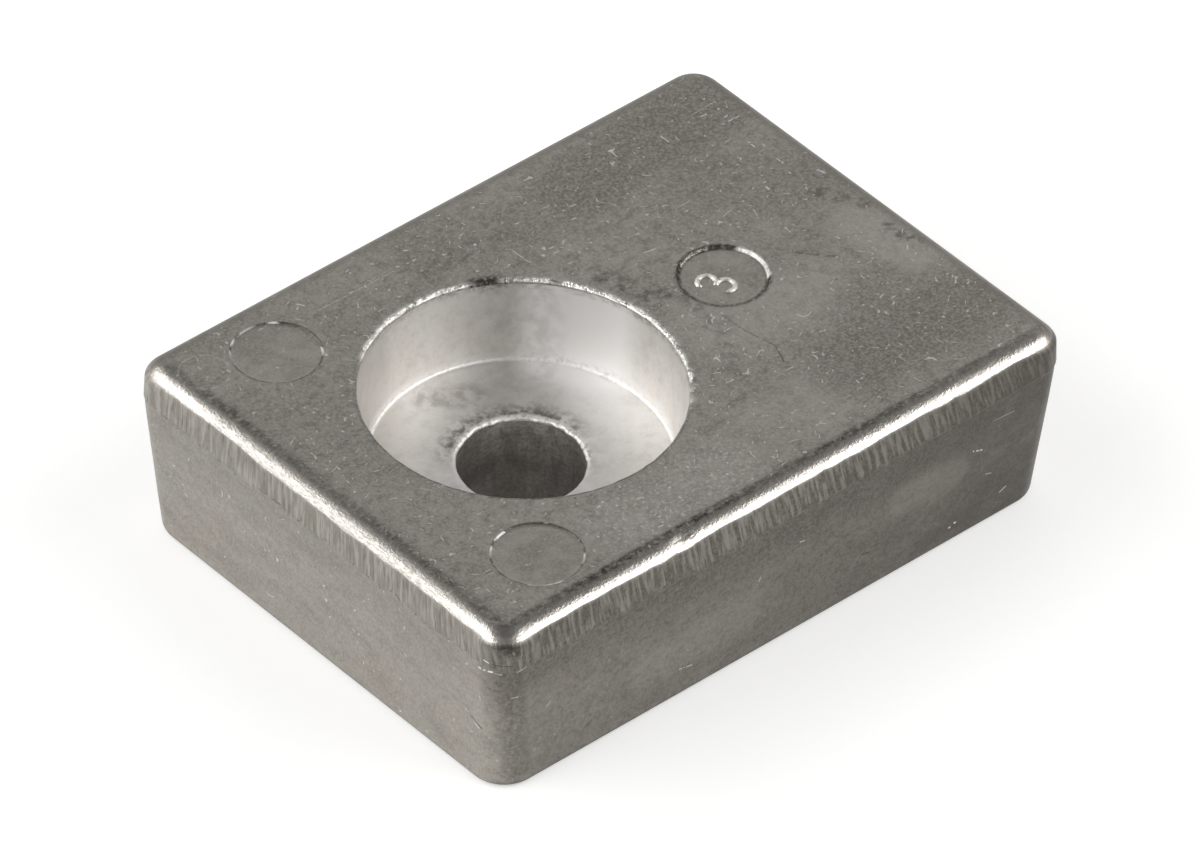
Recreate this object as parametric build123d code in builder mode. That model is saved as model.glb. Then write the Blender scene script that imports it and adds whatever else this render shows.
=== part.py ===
from build123d import *
import math
import os

os.makedirs("parts", exist_ok=True)

# A small sacrificial anode: one solid zinc casting that one bolt holds, with its head sunk in the block.
# Millimetres. The origin is the centre of the foot, +X runs along the block away from the bolt, +Z is up.

# Block. Its widest outline is the parting line, a little below the top face.
length = 48.0
width = 36.0
height = 13.5
parting_depth = 2.65
parting_corner_radius = 1.9
foot_corner_radius = 2.5
wall_draft = 3.7
foot_edge_radius = 0.55

# Rolled top edge, cut back by the trimming die to a band that leans in towards the top.
top_edge_radius = 1.8
top_corner_radius = 1.6
trim_allowance = 0.11
band_lean = 8.3
band_corner_radius = 2.9

# Bolt hole, for an M8 bolt, and the tapered recess for its head.
bolt_offset = -6.65
bore_diameter = 8.4
bore_edge_radius = 0.3
recess_rim_diameter = 21.2
recess_floor_diameter = 19.9
recess_depth = 6.1
recess_corner_radius = 0.4

# Round prints that the ejector pins left in the top face.
pin_diameter = 6.0
pin_pair_offset = -16.45
pin_pair_spacing = 25.3
pin_pair_depth = 0.08
far_pin_offset = 10.4
far_pin_depth = 0.16

# Raised cavity number inside the print of the far pin.
digit_bowl_radius = 0.62
digit_stroke = 0.34
digit_relief = 0.1
digit_turn = 33.5
digit_shift = (-0.8, -0.2)
digit_bowl_sweep = 235.0

# How far a cutting shape runs past the face that it opens.
cut_overrun = 1.0

parting_height = height - parting_depth
foot_inset = parting_height * math.tan(math.radians(wall_draft))
band_inset = parting_depth * math.tan(math.radians(band_lean))
crown_length = length + 2 * trim_allowance
crown_width = width + 2 * trim_allowance


def at_level(shapes, axis, level):
    """Returns those of the given edges or vertices that lie at one level along an axis."""
    return shapes.filter_by_position(axis, level - 0.001, level + 0.001)


with BuildPart() as anode_block:
    # Crown: the block before trimming, with its corners rounder at the top and its top edge rolled over.
    with BuildSketch(Plane.XY.offset(parting_height)):
        RectangleRounded(crown_length, crown_width, parting_corner_radius + trim_allowance)
    with BuildSketch(Plane.XY.offset(height)):
        RectangleRounded(crown_length, crown_width, top_corner_radius + top_edge_radius)
    loft(ruled=True)
    fillet(at_level(anode_block.edges(), Axis.Z, height), top_edge_radius)
    with BuildSketch():
        RectangleRounded(crown_length, crown_width, parting_corner_radius + trim_allowance)
    extrude(amount=parting_height)

    # Trimmed band above the parting line and drafted walls below it.
    with BuildSketch():
        RectangleRounded(length - 2 * foot_inset, width - 2 * foot_inset, foot_corner_radius)
    with BuildSketch(Plane.XY.offset(parting_height)):
        RectangleRounded(length, width, parting_corner_radius)
    with BuildSketch(Plane.XY.offset(height)):
        RectangleRounded(length - 2 * band_inset, width - 2 * band_inset, band_corner_radius)
    loft(ruled=True, mode=Mode.INTERSECT)
    fillet(at_level(anode_block.edges(), Axis.Z, 0), foot_edge_radius)

    # Bolt hole and head recess in one turned cut, with a rounded floor corner and a rounded bore mouth.
    wall_slope = (recess_rim_diameter - recess_floor_diameter) / 2 / recess_depth
    floor_height = height - recess_depth
    with BuildSketch(Plane.XZ.shift_origin((bolt_offset, 0, 0))) as bolt_profile:
        with BuildLine():
            Polyline(
                (0, -cut_overrun),
                (bore_diameter / 2, -cut_overrun),
                (bore_diameter / 2, floor_height),
                (recess_floor_diameter / 2, floor_height),
                (recess_rim_diameter / 2 + cut_overrun * wall_slope, height + cut_overrun),
                (0, height + cut_overrun),
                close=True,
            )
        make_face()
        # In the sketch, X is the distance from the bolt's axis and Y is the height.
        floor_ends = at_level(bolt_profile.vertices(), Axis.Y, floor_height)
        fillet(floor_ends.sort_by(Axis.X)[0], bore_edge_radius)
        floor_ends = at_level(bolt_profile.vertices(), Axis.Y, floor_height)
        fillet(floor_ends.sort_by(Axis.X)[-1], recess_corner_radius)
    revolve(axis=Axis((bolt_offset, 0, 0), (0, 0, 1)), mode=Mode.SUBTRACT)

    # Prints of the two pins beside the bolt and of the single pin at the far end.
    with BuildSketch(Plane.XY.offset(height)):
        with Locations((pin_pair_offset, 0)):
            with GridLocations(1, pin_pair_spacing, 1, 2):
                Circle(pin_diameter / 2)
    extrude(amount=-pin_pair_depth, mode=Mode.SUBTRACT)
    with BuildSketch(Plane.XY.offset(height)):
        with Locations((far_pin_offset, 0)):
            Circle(pin_diameter / 2)
    extrude(amount=-far_pin_depth, mode=Mode.SUBTRACT)

    # Cavity number 3: two open bowls that meet at the waist, with round stroke ends.
    digit_plane = Plane.XY.offset(height - far_pin_depth).shift_origin(
        (far_pin_offset + digit_shift[0], digit_shift[1], height - far_pin_depth)
    )
    with BuildSketch(digit_plane.rotated((0, 0, digit_turn))):
        Circle(digit_stroke / 2)
        for side in (1, -1):
            with BuildLine() as bowl:
                CenterArc((0, side * digit_bowl_radius), digit_bowl_radius, -90 * side, side * digit_bowl_sweep)
            trace(line_width=digit_stroke)
            with Locations(bowl.line @ 1):
                Circle(digit_stroke / 2)
    extrude(amount=digit_relief)

anode_block.part.label = "anode_block"
export_step(anode_block.part, "parts/anode_block.step")
print("volume", anode_block.part.volume, "solids", len(anode_block.part.solids()))
print("box", anode_block.part.bounding_box())
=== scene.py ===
"""A small sacrificial anode: one zinc die casting with a sunk bolt hole, dressed and lit for rendering.

Shapes are worked out in millimetres in the shared frame and put into the mesh in metres: the origin is the centre
of the foot, +X runs along the block away from the bolt, +Z is up.
"""

from __future__ import annotations

import itertools
import logging
import math
from dataclasses import dataclass, field
from enum import IntEnum
from typing import Any

import bpy
import numpy as np
from mathutils import Matrix, Vector


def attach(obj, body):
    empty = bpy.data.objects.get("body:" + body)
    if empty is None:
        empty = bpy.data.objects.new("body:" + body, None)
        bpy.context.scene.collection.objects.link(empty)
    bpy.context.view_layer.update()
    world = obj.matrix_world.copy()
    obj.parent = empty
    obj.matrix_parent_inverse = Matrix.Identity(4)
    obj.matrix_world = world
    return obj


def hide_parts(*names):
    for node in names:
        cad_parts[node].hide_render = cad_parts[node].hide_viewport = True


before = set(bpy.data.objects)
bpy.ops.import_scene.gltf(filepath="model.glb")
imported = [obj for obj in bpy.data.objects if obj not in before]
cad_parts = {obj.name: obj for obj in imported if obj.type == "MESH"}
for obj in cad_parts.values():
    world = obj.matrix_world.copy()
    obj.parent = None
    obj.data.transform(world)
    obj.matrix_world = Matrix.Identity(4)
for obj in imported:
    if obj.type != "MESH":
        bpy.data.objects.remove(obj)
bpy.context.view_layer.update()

LOG = logging.getLogger("anode")
MM = 0.001
SKIN_MAP = "down_the_skin"
WEAR = ("polish_and_sheen", "grime_and_shade", "far_edge_shade", "burr")

# Directions from a round hole or print, seen from above: where torn metal faces the viewer and gets painted
# highlight, and where soot lies.
FACING_VIEWER = 47.0
SOOTED = 70.0

Socket = bpy.types.NodeSocket
# Start and end of a placed mark, its width, all in millimetres, and how clearly it shows.
Mark = tuple[float, float, float, float, float, float]


class Zone(IntEnum):
    """Parts of the casting's skin, one per finish, numbered as its material slots are."""

    FACE = 0
    SIDE = 1
    RECESS = 2
    BORE = 3
    PRINT = 4


class Stretch(IntEnum):
    """Stretches of the profile that is turned round the bolt's axis, from the foot up."""

    HOLE = 0
    MOUTH = 1
    FLOOR = 2
    CORNER = 3
    WALL = 4
    RIM = 5


# ---------------------------------------------------------------- helpers


def linear_colour(code: str) -> tuple[float, float, float, float]:
    """Turns an sRGB hex colour into linear RGBA.

    Args:
        code: Colour such as "#9A968E".

    Returns:
        The three linear values and an alpha of 1.
    """
    parts = [int(code[i : i + 2], 16) / 255.0 for i in (1, 3, 5)]
    values = [c / 12.92 if c <= 0.04045 else ((c + 0.055) / 1.055) ** 2.4 for c in parts]
    return (values[0], values[1], values[2], 1.0)


def add_node(
    tree: bpy.types.NodeTree, kind: str, inputs: dict[Any, Any] | None = None, **settings: Any
) -> bpy.types.Node:
    """Adds a node with its settings, and sets or links its inputs.

    Args:
        tree: Node tree that gets the node.
        kind: Node type without its "ShaderNode" prefix.
        inputs: Input name or number, with the socket to link from or the value to set.
        **settings: Properties of the node.

    Returns:
        The new node.
    """
    node = tree.nodes.new("ShaderNode" + kind)
    for name, value in settings.items():
        setattr(node, name, value)
    for key, value in (inputs or {}).items():
        if isinstance(value, Socket):
            tree.links.new(value, node.inputs[key])
        else:
            node.inputs[key].default_value = value
    return node


def new_tree(block: bpy.types.Material | bpy.types.World) -> bpy.types.NodeTree:
    """Gives a new material or world an empty node tree."""
    block.use_nodes = True
    block.node_tree.nodes.clear()
    return block.node_tree


def add_piece(name: str, points: np.ndarray, faces: list[list[int]]) -> bpy.types.Object:
    """Puts a new mesh into the scene.

    Args:
        name: Name of the object and of its mesh.
        points: Places in metres, one row each.
        faces: Point numbers of each face.

    Returns:
        The object, unturned at the origin.
    """
    mesh = bpy.data.meshes.new(name)
    mesh.from_pydata(points.tolist(), [], faces)
    piece = bpy.data.objects.new(name, mesh)
    bpy.context.scene.collection.objects.link(piece)
    return piece


def towards(azimuth: Any, elevation: Any) -> np.ndarray:
    """Unit directions from the object: azimuth counter-clockwise from +X, elevation above the floor, in degrees."""
    a, e = np.radians(azimuth), np.radians(elevation)
    return np.stack([np.cos(a) * np.cos(e), np.sin(a) * np.cos(e), np.sin(e)], axis=-1)


def held(values: Any) -> Any:
    """Values held between 0 and 1."""
    return np.clip(values, 0.0, 1.0)


def eased(share: Any) -> Any:
    """A share from 0 to 1 with soft ends: 3t^2 - 2t^3."""
    return share * share * (3.0 - 2.0 * share)


def between(start: Any, end: Any, share: Any) -> Any:
    """Values on the straight way from start to end."""
    return start + (end - start) * share


def bell(values: Any, width: Any) -> Any:
    """Bell curve: e to the minus square of the value over the width."""
    return np.exp(-((values / width) ** 2))


@dataclass(frozen=True)
class Ripple:
    """Smooth seeded unevenness in space, the same at every run.

    Attributes:
        seed: Seed of the random heights.
        wavelength: Distance between lattice points in millimetres.
    """

    seed: int
    wavelength: float

    def at(self, x: Any, y: Any, z: Any = 0.0) -> np.ndarray:
        """Heights from -1 to 1 at the given places.

        Random heights stand at the points of a cubic lattice that repeats. Between them they are blended along each
        axis with the weight 3t^2 - 2t^3, so the surface has no creases.

        Args:
            x: X in millimetres, any shape.
            y: Y in millimetres.
            z: Z in millimetres.

        Returns:
            Heights in the broadcast shape of the three.
        """
        size = 32
        lattice = np.random.default_rng(self.seed).uniform(-1.0, 1.0, (size, size, size))
        places = np.stack(np.broadcast_arrays(x, y, z)).astype(float) / self.wavelength
        cell = np.floor(places).astype(int)
        weight = eased(places - cell)
        total = np.zeros(places.shape[1:])
        for corner in itertools.product((0, 1), repeat=3):
            step = np.reshape(corner, (3,) + (1,) * (places.ndim - 1))
            share = np.prod(np.where(step == 1, weight, 1.0 - weight), axis=0)
            total += share * lattice[tuple((cell + step) % size)]
        return total


def turned_arc(centre: tuple[float, float], radius: float, start: float, end: float, count: int) -> np.ndarray:
    """Points of a rounded corner in a turned profile, without the first one.

    Each point is the centre plus the radius along an angle that goes evenly from start to end.

    Args:
        centre: Distance from the bolt's axis and height.
        radius: Radius of the rounding.
        start: First angle in degrees, 0 pointing away from the axis and 90 up.
        end: Last angle.
        count: Number of points.

    Returns:
        Array (count, 2) of distance and height.
    """
    angle = np.radians(np.linspace(start, end, count + 1)[1:])
    return np.column_stack([centre[0] + radius * np.cos(angle), centre[1] + radius * np.sin(angle)])


def face_corners(values: np.ndarray) -> np.ndarray:
    """Values of a closed grid at the four corners of each face, counter-clockwise from outside."""
    below = np.roll(values, -1, axis=0)
    return np.stack([values, below, np.roll(below, -1, axis=1), np.roll(values, -1, axis=1)], axis=-1)


# ---------------------------------------------------------------- the casting's lines


@dataclass(frozen=True)
class OutlineLines:
    """Lines that run down the block's skin, once round its outline.

    Attributes:
        share_x: Place between the corner centres along X, from -1 to 1.
        share_y: The same along Y.
        normal_x: X of the outward direction, seen from above.
        normal_y: Y of the outward direction.
        trip: Place on the trip round the outline, from 0 to 8.
    """

    share_x: np.ndarray
    share_y: np.ndarray
    normal_x: np.ndarray
    normal_y: np.ndarray
    trip: np.ndarray

    @classmethod
    def spaced(cls, knots: tuple[float, ...], counts: tuple[int, ...]) -> OutlineLines:
        """Spreads the lines over the outline.

        The trip round the outline is counted in eighths: a side and a corner each take 1, starting with the far side
        (+X) and going counter-clockwise. The share along X and Y and the turn of the outward direction are straight
        runs between their values at whole numbers.

        Args:
            knots: Places on the trip where the spacing changes, from 0 to 8.
            counts: Number of lines from each knot to the next.

        Returns:
            The lines.
        """
        trip = np.interp(np.arange(sum(counts)), np.cumsum((0,) + counts), knots)
        turn = np.radians(np.interp(trip, range(9), (0, 0, 90, 90, 180, 180, 270, 270, 360)))
        return cls(
            share_x=np.interp(trip, (0, 2, 3, 6, 7, 8), (1, 1, -1, -1, 1, 1)),
            share_y=np.interp(trip, (0, 1, 4, 5, 8), (-1, 1, 1, -1, -1)),
            normal_x=np.cos(turn),
            normal_y=np.sin(turn),
            trip=trip,
        )

    def front(self) -> np.ndarray:
        """1 along the long near side, falling to 0 round its corners."""
        return held(-self.normal_y)

    def away(self) -> np.ndarray:
        """0 along the two near sides, 1 or a little more from one far side to the other."""
        return held(self.normal_x) + held(self.normal_y)

    def at_corners(self) -> np.ndarray:
        """1 round the corners, fading to 0 along the first twentieth of each side."""
        from_middle = np.abs(np.mod(self.trip - 0.5, 2.0) - 1.0)
        return eased(held(1.0 - (from_middle - 0.5) / 0.05))

    def ring(self, half_length: Any, half_width: Any, corner: Any) -> tuple[np.ndarray, np.ndarray]:
        """Points of a rounded rectangle on every line.

        A point is the share of the box of corner centres plus the corner radius along the outward direction.

        Args:
            half_length: Half of the size along X.
            half_width: Half of the size along Y.
            corner: Corner radius.

        Returns:
            X and Y.
        """
        x = (half_length - corner) * self.share_x + corner * self.normal_x
        y = (half_width - corner) * self.share_y + corner * self.normal_y
        return x, y


@dataclass
class Strip:
    """Rows of points between one line round the skin and the next, without the line that it starts from.

    Attributes:
        x: X of the points, one row per line.
        y: Y of the points.
        z: Z of the points.
        zone: Finish of the faces that lead to these rows.
        polish_and_sheen: How much handling has polished the points, from 0 to 1, with painted sheen laid on in a
            lighter colour along the near rolled edges, the top of the band and the recess's floor corner.
        grime_and_shade: How much burnt die lubricant sits on the points, and how much painted shade: the dark band
            above the near edges' highlight, the near side of the rim and just under its burr.
        far_edge_shade: How much painted shade darkens the points, along the far rolled edges.
        burr: How much of the metal there is freshly torn or pressed, and bright, with painted highlight laid on it at
            the far mouth of the bolt hole, the rim's burr, the prints' rings and the raised number.
    """

    x: np.ndarray
    y: np.ndarray
    z: np.ndarray
    zone: Zone
    polish_and_sheen: np.ndarray | float = 0.0
    grime_and_shade: np.ndarray | float = 0.0
    far_edge_shade: np.ndarray | float = 0.0
    burr: np.ndarray | float = 0.0

    def wear(self) -> np.ndarray:
        """The four kinds of wear of every point, as rows of four."""
        return np.column_stack([np.broadcast_to(getattr(self, kind), self.x.shape).ravel() for kind in WEAR])


@dataclass(frozen=True)
class Patch:
    """A round print, as what takes the place of a window in the top face's grid.

    Attributes:
        window: Rows and columns of the grid's faces that give way.
        points: Places of the new points.
        wear: Their four kinds of wear.
        quads: New faces of four points.
        fan: New faces of three points, round the middle.
        zones: Finish of each face of four.
    """

    window: tuple[slice, slice]
    points: np.ndarray
    wear: np.ndarray
    quads: np.ndarray
    fan: np.ndarray
    zones: np.ndarray


@dataclass(frozen=True)
class PinPrint:
    """Round print of an ejector pin.

    Attributes:
        place: Centre on the top face.
        depth: Depth of its floor.
        lip: Height of the thin witness ring round it.
        seed: Seed of the ring's unevenness.
        rings: Number of rings between its edge and its middle.
        torn: First and last angle of the stretch of its ring that is torn bright, in degrees.
        line: Width of its ring as it shows.
        numbered: Whether it holds the raised number.
        radius: Radius of the pin.
    """

    place: tuple[float, float]
    depth: float
    lip: float
    seed: int
    rings: int
    torn: tuple[float, float]
    line: float
    numbered: bool = False
    radius: float = 3.0


@dataclass(frozen=True)
class CavityNumber:
    """Raised plain 3 in the far print: two open bowls that meet at the waist.

    Attributes:
        place: Waist of the figure on the top face.
        turn: Turn of the figure in degrees.
        bowl: Radius of a bowl's centre line.
        sweep: Part of a turn that a bowl takes, in degrees.
        stroke: Width of the stroke.
        relief: Height above the print's floor.
    """

    place: tuple[float, float] = (9.74, 0.05)
    turn: float = 33.5
    bowl: float = 0.62
    sweep: float = 235.0
    stroke: float = 0.4
    relief: float = 0.13

    def height(self, x: np.ndarray, y: np.ndarray) -> np.ndarray:
        """Height of the figure at places on the top face.

        The distance to a bowl is the distance to its circle where the place lies within its sweep, and to its nearer
        end elsewhere. The stroke's cross-section is round: it falls with the square of that distance.

        Args:
            x: X in millimetres.
            y: Y in millimetres.

        Returns:
            Heights in millimetres, 0 off the strokes.
        """
        turn = math.radians(self.turn)
        across = (x - self.place[0]) * math.cos(turn) + (y - self.place[1]) * math.sin(turn)
        along = (y - self.place[1]) * math.cos(turn) - (x - self.place[0]) * math.sin(turn)
        nearest = np.full(np.shape(x), 1e9)
        for up in (along, -along):
            angle = np.degrees(np.arctan2(up - self.bowl, across)) + 90.0
            within = np.mod(angle, 360.0) <= self.sweep
            end = math.radians(self.sweep - 90.0)
            to_end = np.hypot(across - self.bowl * math.cos(end), up - self.bowl - self.bowl * math.sin(end))
            to_waist = np.hypot(across, up)
            to_circle = np.abs(np.hypot(across, up - self.bowl) - self.bowl)
            nearest = np.minimum(nearest, np.where(within, to_circle, np.minimum(to_end, to_waist)))
        return self.relief * (1.0 - held(nearest / (self.stroke / 2.0)) ** 2.0)


@dataclass
class AnodeCasting:
    """The whole anode, one closed skin. Sizes are the part's own, in millimetres."""

    length: float = 48.0
    width: float = 36.0
    height: float = 13.5
    parting_depth: float = 2.65
    parting_corner: float = 1.9
    foot_corner: float = 2.5
    wall_draft: float = 3.7
    wall_setback: float = 0.02
    foot_edge: float = 0.55
    roll_radius: float = 1.8
    roll_corner: float = 0.45
    roll_inset: float = 1.64
    trim_reach: float = 1.40
    corner_reach: float = 1.62
    bolt_x: float = -6.65
    bore_radius: float = 4.2
    bore_mouth: float = 0.28
    bore_foot: float = 0.15
    recess_depth: float = 6.1
    recess_floor_radius: float = 9.95
    recess_rim_radius: float = 10.6
    recess_corner: float = 0.28
    rim_rounding: float = 0.24
    face_drop: float = 0.025
    burr_ends: tuple[float, float] = (-52.0, 128.0)
    burr_gap: float = 62.0
    knock_x: float = -8.5
    knock_depth: float = 0.11
    soot_and_shade_x: float = -8.0
    prints: tuple[PinPrint, ...] = (
        PinPrint((-16.45, 12.65), 0.07, 0.02, 21, 12, (76.0, 104.0), 0.1),
        PinPrint((-16.45, -12.65), 0.07, 0.02, 22, 12, (-145.0, -95.0), 0.1),
        PinPrint((10.5, 0.22), 0.19, 0.025, 23, 46, (-42.0, 34.0), 0.25, numbered=True),
    )
    figure: CavityNumber = field(default_factory=CavityNumber)
    lines: OutlineLines = field(
        default_factory=lambda: OutlineLines.spaced(
            (0.0, 0.26, 0.74, 1.0, 2.0, 2.84, 3.0, 4.0, 4.14, 4.86, 5.0, 6.0, 6.16, 7.0, 8.0),
            (20, 58, 20, 14, 84, 18, 16, 12, 64, 12, 18, 20, 112, 16),
        )
    )

    # -------- where things are

    def face_height(self, x: np.ndarray, y: np.ndarray) -> np.ndarray:
        """Height of the top face: a little under the full height, with two sizes of shallow waves."""
        waves = 0.014 * Ripple(3, 9.0).at(x, y) + 0.004 * Ripple(4, 2.6).at(x, y)
        return self.height - self.face_drop + waves

    def outline(self, inset: Any, corner: Any) -> tuple[np.ndarray, np.ndarray]:
        """X and Y on every line of a rounded rectangle that stands back from the block's full length and width."""
        return self.lines.ring(self.length / 2 - inset, self.width / 2 - inset, corner)

    def roll_start(self) -> tuple[np.ndarray, np.ndarray]:
        """X and Y where the flat top face ends and the rolled edge begins."""
        return self.outline(self.roll_inset, self.roll_corner)

    def around_bolt(self) -> np.ndarray:
        """Angle of every line about the bolt's axis, from where the line meets the rolled edge."""
        x, y = self.roll_start()
        return np.arctan2(y, x - self.bolt_x)

    def about_bolt(self, away: Any, angle: np.ndarray) -> tuple[np.ndarray, np.ndarray]:
        """X and Y at a distance from the bolt's axis along an angle."""
        return self.bolt_x + away * np.cos(angle), away * np.sin(angle)

    def trip_length(self) -> np.ndarray:
        """Distance round the outline at every line, closed by the whole way round, in millimetres."""
        x, y = self.outline(0.0, self.parting_corner)
        steps = np.hypot(np.roll(x, -1) - x, np.roll(y, -1) - y)
        return np.concatenate([[0.0], np.cumsum(steps)])

    def trimmed_at(self) -> np.ndarray:
        """How far down the roll the trimming die cut it off at every line: it wanders, and is less in front."""
        x, y = self.roll_start()
        wander = 0.045 * Ripple(12, 2.7).at(x, y) + 0.03 * Ripple(13, 0.8).at(x, y) + 0.02 * Ripple(26, 0.45).at(x, y)
        return self.trim_reach - 0.06 * self.lines.front() + wander

    def wall_radius(self, level: Any) -> Any:
        """Distance of the recess wall from the bolt's axis at a level."""
        slope = (self.recess_rim_radius - self.recess_floor_radius) / self.recess_depth
        return self.recess_floor_radius + (level - self.height + self.recess_depth) * slope

    # -------- wear along the lines

    def burr(self) -> tuple[np.ndarray, np.ndarray]:
        """Broken burr on the rim of the recess, on the side away from the near corner, and its soiled gap.

        A hump between two angles round the bolt, thickest near 95 and -5 degrees, times coarse and fine unevenness,
        with one gap in it.

        Returns:
            The burr, a little over 1 at most, and the gap from 0 to 1, on every line.
        """
        angle = np.degrees(self.around_bolt())
        first, last = self.burr_ends
        hump = held((angle - first) / 10.0) * held((last - angle) / 14.0)
        gap = np.exp(-(((angle - self.burr_gap) / 6.0) ** 4))
        reach = self.recess_rim_radius
        x, y = reach * np.cos(np.radians(angle)), reach * np.sin(np.radians(angle))
        thick = 0.55 + 0.45 * bell(angle - 95.0, 20.0) + 0.3 * bell(angle + 5.0, 30.0)
        rough = thick + 0.25 * Ripple(5, 1.3).at(x, y) + 0.45 * Ripple(6, 0.4).at(x, y)
        return hump * (1.0 - gap) * np.clip(rough, 0.1, 1.2), gap

    def soot_and_shade(self) -> np.ndarray:
        """How much lubricant burnt on along the near edges, together with painted shade for the dark band above their
        highlight: patchy, and most on the long side in front.
        """
        x, y = self.roll_start()
        return 0.75 + 0.3 * Ripple(24, 5.0).at(x, y) + self.lines.front() * (0.1 + 0.3 * bell(x - self.soot_and_shade_x, 7.5))

    # -------- shapes

    def profile(self) -> tuple[tuple[Stretch, np.ndarray, Zone], ...]:
        """Profile that is turned round the bolt's axis: hole, mouth, recess floor, corner, wall and rim.

        Returns:
            Each stretch with its points, as distance from the axis and height, and its finish.
        """
        floor, face = self.height - self.recess_depth, self.height - self.face_drop
        bore, mouth, corner, rim, edge = (
            self.bore_radius, self.bore_mouth, self.recess_corner, self.rim_rounding, self.bore_foot
        )
        lean = math.atan((self.recess_rim_radius - self.recess_floor_radius) / self.recess_depth)
        corner_centre = (self.wall_radius(floor + corner) - corner / math.cos(lean), floor + corner)
        rim_centre = (self.wall_radius(face - rim) + rim / math.cos(lean), face - rim)
        foot = turned_arc((bore + edge, edge), edge, 270.0, 180.0, 3)
        tube = np.column_stack([np.full(7, bore), np.linspace(edge, floor - mouth, 8)[1:]])
        # Points of the floor stand closer together at both ends.
        reach = np.array([0.03, 0.09, 0.17, 0.27, 0.4, 0.53, 0.66, 0.78, 0.88, 0.95, 1.0])
        start = bore + mouth
        flat = np.column_stack([between(start, corner_centre[0], reach), np.full(reach.size, floor)])
        levels = np.linspace(floor + corner * 0.95, face - rim * 1.02, 13)[1:]
        lean = math.degrees(lean)
        return (
            (Stretch.HOLE, np.vstack([foot, tube]), Zone.BORE),
            (Stretch.MOUTH, turned_arc((start, floor - mouth), mouth, 180.0, 90.0, 7), Zone.RECESS),
            (Stretch.FLOOR, flat, Zone.RECESS),
            (Stretch.CORNER, turned_arc(corner_centre, corner, -90.0, -lean, 6), Zone.RECESS),
            (Stretch.WALL, np.column_stack([self.wall_radius(levels), levels]), Zone.RECESS),
            (Stretch.RIM, turned_arc(rim_centre, rim, 180.0 - lean, 90.0, 9), Zone.FACE),
        )

    def turned_strips(self) -> list[Strip]:
        """Everything from the foot of the bolt hole to the rim of the recess.

        The profile is carried round the bolt's axis: X is the axis plus the distance times the cosine of the line's
        angle, Y the distance times its sine. Each stretch then gets its own unevenness and wear.

        Returns:
            One strip per stretch of the profile.
        """
        angle, face = self.around_bolt(), self.height - self.face_drop
        burr, gap = self.burr()
        facing = held(0.75 + np.cos(angle - math.radians(FACING_VIEWER)))
        behind = held((np.cos(angle - math.radians(SOOTED)) - 0.15) / 0.35)
        strips = []
        for stretch, points, zone in self.profile():
            away, level = points[:, :1], points[:, 1:] + np.zeros_like(angle)
            x, y = self.about_bolt(away, angle)
            from_mouth = away - self.bore_radius - self.bore_mouth
            polish_sheen, soil_and_shade, torn_and_glint = 0.0, 0.0, 0.0
            if stretch == Stretch.MOUTH:
                rough = 0.5 + 0.5 * Ripple(7, 0.4).at(x, y, level)
                away = away - 0.13 * rough * facing
                # Painted highlight on the mouth's torn metal where it faces the viewer.
                torn_and_glint = facing * (0.4 + 0.6 * rough)
            elif stretch == Stretch.FLOOR:
                level = level + bell(from_mouth, 0.6) * 0.04 * Ripple(8, 0.5).at(x, y)
                level = level + 0.012 * Ripple(9, 3.5).at(x, y)
                soil_and_shade = bell(from_mouth, 0.85) * behind
                # Painted highlight on the floor's torn edge by the mouth, where it faces the viewer.
                torn_and_glint = facing * held(1.0 - from_mouth / 0.18) ** 2
            elif stretch == Stretch.CORNER:
                polish_sheen = 1.0
            elif stretch == Stretch.WALL:
                away = away + 0.012 * Ripple(10, 4.0).at(x, y, level)
                # Soil in the burr's gap, and painted shadow on the wall just under the burr.
                soil_and_shade = held((level - face + 0.8) / 0.4) * gap + held((level - face + 0.45) / 0.2) * burr * 0.6
            elif stretch == Stretch.RIM:
                # Where the burr stands, the rounding is a straight slope with a torn bead on it.
                share = np.linspace(0.0, 1.0, len(points) + 1)[1:, None]
                bead = np.sin(math.pi * held(share * 1.1))
                flat = held(1.4 * burr)
                away = away + flat * (between(away[:1], away[-1:], share) - away)
                level = level + flat * (between(level[:1], level[-1:], share) - level)
                ragged = 0.5 + 0.5 * Ripple(25, 0.5).at(x, y, level)
                away = away - burr * (0.02 + 0.14 * ragged) * bead + 0.03 * Ripple(11, 0.7).at(x, y)
                away = away + 0.1 * burr * share * Ripple(27, 0.5).at(x, y)
                level = level + (self.face_height(x, y) - face) + 0.05 * burr * share**0.5
                # The burr's torn metal with painted highlight on it; painted shade along the near side of the rim,
                # and soil in the burr's gap.
                torn_and_glint = held(burr * 1.6) * held(share * 6.0)
                soil_and_shade = np.maximum(0.75 * (1.0 - facing), 2.5 * gap)
            x, y = self.about_bolt(away, angle)
            strips.append(Strip(x, y, level, zone, polish_and_sheen=polish_sheen, grime_and_shade=soil_and_shade, burr=torn_and_glint))
        return strips

    def top_strip(self, rim: Strip) -> Strip:
        """Top face: every line runs straight from the rim to the rolled edge, closer together near the rim.

        Args:
            rim: The strip that ends in the rim's last row.

        Returns:
            The strip of the face.
        """
        by_rim = (0.008, 0.022, 0.042)
        share = np.concatenate([by_rim, np.linspace(by_rim[-1], 0.985, 39)[1:], [1.0]])[:, None]
        end_x, end_y = self.roll_start()
        x, y = between(rim.x[-1], end_x, share), between(rim.y[-1], end_y, share)
        lift = (rim.z[-1] - self.face_height(rim.x[-1], rim.y[-1])) * held(1.0 - share / by_rim[-1])
        burr, gap = self.burr()
        from_rim = np.hypot(x - rim.x[-1], y - rim.y[-1])
        to_roll = np.hypot(end_x - x, end_y - y)
        near = held(1.0 - self.lines.away())
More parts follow.
